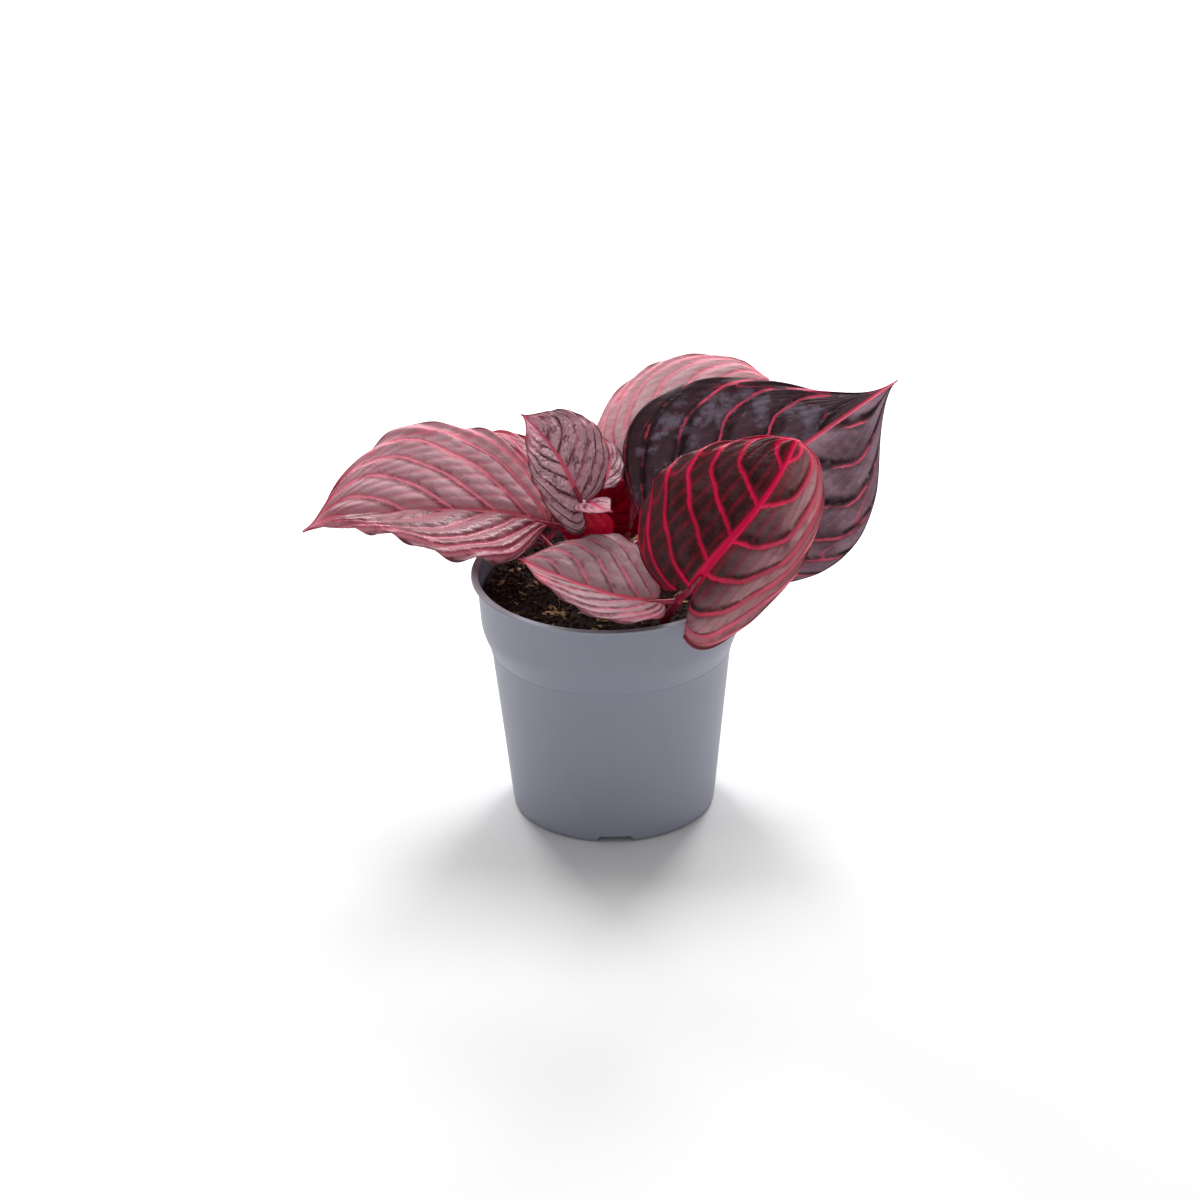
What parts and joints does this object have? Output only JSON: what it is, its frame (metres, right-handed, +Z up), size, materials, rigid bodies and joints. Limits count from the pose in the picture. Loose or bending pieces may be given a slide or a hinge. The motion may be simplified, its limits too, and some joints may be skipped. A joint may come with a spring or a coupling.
{
  "type": "potted bloodleaf",
  "caption": "Young bloodleaf house plant with silvery pink and dark crimson veined leaves, growing in a round blue-grey plastic nursery pot",
  "frame": {"origin": "on the surface that the pot stands on, under the middle of the whole plant's bounding box", "axes": "+Z up, +X towards the longest pair of leaves on the right as seen from the front, -Y the front"},
  "size_m": [0.2567, 0.144, 0.1878],
  "materials": {
    "pot_plastic": "satin moulded polypropylene, blue-grey",
    "potting_soil": "loose dark peat with fibres and bark chips",
    "stem": "smooth crimson skin",
    "leaf_pale": "satin leaf, silvery pink between pink veins",
    "leaf_dark": "glossy leaf, dark maroon with crimson veins",
    "leaf_crimson": "satin leaf, dark crimson with bright red veins"
  },
  "bodies": {
    "root": {"pot": "pot_plastic", "soil": "potting_soil", "stem_left": "stem", "stem_middle": "stem", "stem_front": "stem", "leaf_left_big": "leaf_pale", "leaf_left_back": "leaf_pale", "leaf_top_puckered": "leaf_pale", "leaf_top_front": "leaf_pale", "leaf_top_back": "leaf_dark", "leaf_centre_left": "leaf_crimson", "leaf_centre_right": "leaf_crimson", "leaf_right_back": "leaf_pale", "leaf_right_big": "leaf_dark", "leaf_front_round": "leaf_crimson", "leaf_front_low": "leaf_pale", "leaf_back_right": "leaf_dark", "leaf_back_left": "leaf_dark", "leaf_back_middle": "leaf_dark"}
  },
  "joints": []
}
